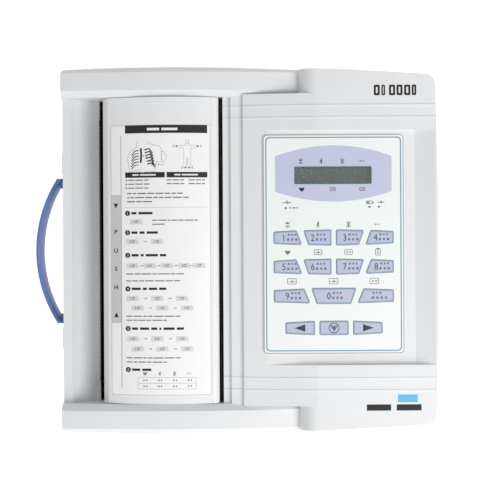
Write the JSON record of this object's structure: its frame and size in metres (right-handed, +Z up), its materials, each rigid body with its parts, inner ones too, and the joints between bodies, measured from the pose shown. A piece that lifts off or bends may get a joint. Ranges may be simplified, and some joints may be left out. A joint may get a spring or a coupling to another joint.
{
  "type": "portable electrocardiograph",
  "caption": "Low desktop ECG recorder: hinged paper cover with platen printer between side rails, sunken membrane keypad with display, and a blue side strap handle.",
  "frame": {"origin": "centre of the whole object's box, on the surface it stands on", "axes": "+X to the operator's right (away from the handle), +Y to the rear, +Z up"},
  "size_m": [0.3294, 0.296, 0.093],
  "materials": {
    "case_white": "fine moulded grain",
    "cover_white": "fine moulded grain",
    "panel": "printed film",
    "key_lavender": "printed film",
    "glass": "clear",
    "lcd_black": "gloss",
    "lens": "translucent",
    "handle_blue": "satin",
    "rubber_black": "matte",
    "steel": "satin",
    "aluminium": "satin",
    "brass": "satin",
    "pcb_green": "solder mask",
    "gear_plastic": "acetal",
    "black_plastic": "moulded",
    "ceramic": "glazed",
    "paper": "thermal paper",
    "battery_blue": "shrink wrap"
  },
  "bodies": {
    "case": {"battery_hatch": "case_white", "battery_pack": "battery_blue", "bottom_case": "case_white", "buzzer": "black_plastic", "case_screws": "steel", "display_bezel": "steel", "display_glass": "lcd_black", "display_window": "glass", "earth_stud": "brass", "handle_pins": "steel", "handle_strap": "handle_blue", "head_pivot_rod": "steel", "hinge_pins": "steel", "indicator_lights": "lens", "key_board": "pcb_green", "key_domes": "steel", "keypad_panel": "panel", "latch_body": "black_plastic", "latch_spring": "steel", "main_board": "pcb_green", "mains_inlet": "black_plastic", "paper_tray": "black_plastic", "patient_connector": "steel", "power_supply": "aluminium", "printer_frame": "steel", "rubber_feet": "rubber_black", "serial_port": "steel", "stepper_motor": "steel", "switch_housing": "black_plastic", "tear_bar": "steel", "top_case": "case_white"},
    "cover": {"paper_cover": "cover_white", "latch_striker": "steel", "platen_bushes": "brass"},
    "platen": {"platen_rubber": "rubber_black", "platen_shaft": "steel", "platen_gear": "gear_plastic"},
    "idler": {"idler_gear": "gear_plastic"},
    "pinion": {"motor_pinion": "brass"},
    "roll": {"paper_roll": "paper", "roll_spindle": "gear_plastic"},
    "head": {"thermal_head": "ceramic", "head_bracket": "aluminium"},
    "plunger": {"latch_plunger": "gear_plastic"},
    "rocker": {"power_rocker": "black_plastic"},
    "key_1": {"key_1": "key_lavender"},
    "key_2": {"key_2": "key_lavender"},
    "key_3": {"key_3": "key_lavender"},
    "key_4": {"key_4": "key_lavender"},
    "key_5": {"key_5": "key_lavender"},
    "key_6": {"key_6": "key_lavender"},
    "key_7": {"key_7": "key_lavender"},
    "key_8": {"key_8": "key_lavender"},
    "key_9": {"key_9": "key_lavender"},
    "key_0": {"key_0": "key_lavender"},
    "key_escape": {"key_escape": "key_lavender"},
    "key_left": {"key_left": "key_lavender"},
    "key_stop": {"key_stop": "key_lavender"},
    "key_right": {"key_right": "key_lavender"}
  },
  "joints": [
    {"name": "cover_hinge", "type": "hinge", "parent": "case", "child": "cover", "pos_m": [-0.01815, 0, 0.078], "axis": [0, 1, 0], "range_deg": [0, 95]},
    {"name": "platen_spin", "type": "hinge", "parent": "cover", "child": "platen", "pos_m": [-0.09675, 0, 0.06], "axis": [0, 1, 0], "continuous": true},
    {"name": "idler_spin", "type": "hinge", "parent": "case", "child": "idler", "pos_m": [-0.08545, 0, 0.04054], "axis": [0, 1, 0], "continuous": true},
    {"name": "pinion_spin", "type": "hinge", "parent": "case", "child": "pinion", "pos_m": [-0.09175, 0, 0.024], "axis": [0, 1, 0], "continuous": true},
    {"name": "roll_spin", "type": "hinge", "parent": "case", "child": "roll", "pos_m": [-0.04775, 0, 0.042], "axis": [0, 1, 0], "continuous": true},
    {"name": "head_rock", "type": "hinge", "parent": "case", "child": "head", "pos_m": [-0.09125, 0, 0.044], "axis": [0, 1, 0], "range_deg": [-1.5, 0], "stiffness_Nm_per_rad": 0.5, "springref_deg": 5.73},
    {"name": "plunger_slide", "type": "slide", "parent": "case", "child": "plunger", "axis": [0, 0, -1], "range_m": [0, 0.0015], "stiffness_N_per_m": 300, "springref_m": -0.004, "deforming": ["latch_spring"]},
    {"name": "rocker_tilt", "type": "hinge", "parent": "case", "child": "rocker", "pos_m": [0.07825, 0.13921, 0.024], "axis": [1, 0, 0], "range_deg": [0, 20]},
    {"name": "key_1_press", "type": "slide", "parent": "case", "child": "key_1", "axis": [0, 0, -1], "range_m": [0, 0.0005], "stiffness_N_per_m": 600, "springref_m": -0.0002},
    {"name": "key_2_press", "type": "slide", "parent": "case", "child": "key_2", "axis": [0, 0, -1], "range_m": [0, 0.0005], "stiffness_N_per_m": 600, "springref_m": -0.0002},
    {"name": "key_3_press", "type": "slide", "parent": "case", "child": "key_3", "axis": [0, 0, -1], "range_m": [0, 0.0005], "stiffness_N_per_m": 600, "springref_m": -0.0002},
    {"name": "key_4_press", "type": "slide", "parent": "case", "child": "key_4", "axis": [0, 0, -1], "range_m": [0, 0.0005], "stiffness_N_per_m": 600, "springref_m": -0.0002},
    {"name": "key_5_press", "type": "slide", "parent": "case", "child": "key_5", "axis": [0, 0, -1], "range_m": [0, 0.0005], "stiffness_N_per_m": 600, "springref_m": -0.0002},
    {"name": "key_6_press", "type": "slide", "parent": "case", "child": "key_6", "axis": [0, 0, -1], "range_m": [0, 0.0005], "stiffness_N_per_m": 600, "springref_m": -0.0002},
    {"name": "key_7_press", "type": "slide", "parent": "case", "child": "key_7", "axis": [0, 0, -1], "range_m": [0, 0.0005], "stiffness_N_per_m": 600, "springref_m": -0.0002},
    {"name": "key_8_press", "type": "slide", "parent": "case", "child": "key_8", "axis": [0, 0, -1], "range_m": [0, 0.0005], "stiffness_N_per_m": 600, "springref_m": -0.0002},
    {"name": "key_9_press", "type": "slide", "parent": "case", "child": "key_9", "axis": [0, 0, -1], "range_m": [0, 0.0005], "stiffness_N_per_m": 600, "springref_m": -0.0002},
    {"name": "key_0_press", "type": "slide", "parent": "case", "child": "key_0", "axis": [0, 0, -1], "range_m": [0, 0.0005], "stiffness_N_per_m": 600, "springref_m": -0.0002},
    {"name": "key_escape_press", "type": "slide", "parent": "case", "child": "key_escape", "axis": [0, 0, -1], "range_m": [0, 0.0005], "stiffness_N_per_m": 600, "springref_m": -0.0002},
    {"name": "key_left_press", "type": "slide", "parent": "case", "child": "key_left", "axis": [0, 0, -1], "range_m": [0, 0.0005], "stiffness_N_per_m": 600, "springref_m": -0.0002},
    {"name": "key_stop_press", "type": "slide", "parent": "case", "child": "key_stop", "axis": [0, 0, -1], "range_m": [0, 0.0005], "stiffness_N_per_m": 600, "springref_m": -0.0002},
    {"name": "key_right_press", "type": "slide", "parent": "case", "child": "key_right", "axis": [0, 0, -1], "range_m": [0, 0.0005], "stiffness_N_per_m": 600, "springref_m": -0.0002}
  ],
  "couplings": [
    {"joint": "idler_spin", "follows": "platen_spin", "ratio": -0.64706},
    {"joint": "pinion_spin", "follows": "platen_spin", "ratio": 2.2},
    {"joint": "roll_spin", "follows": "platen_spin", "ratio": 0.33333}
  ]
}
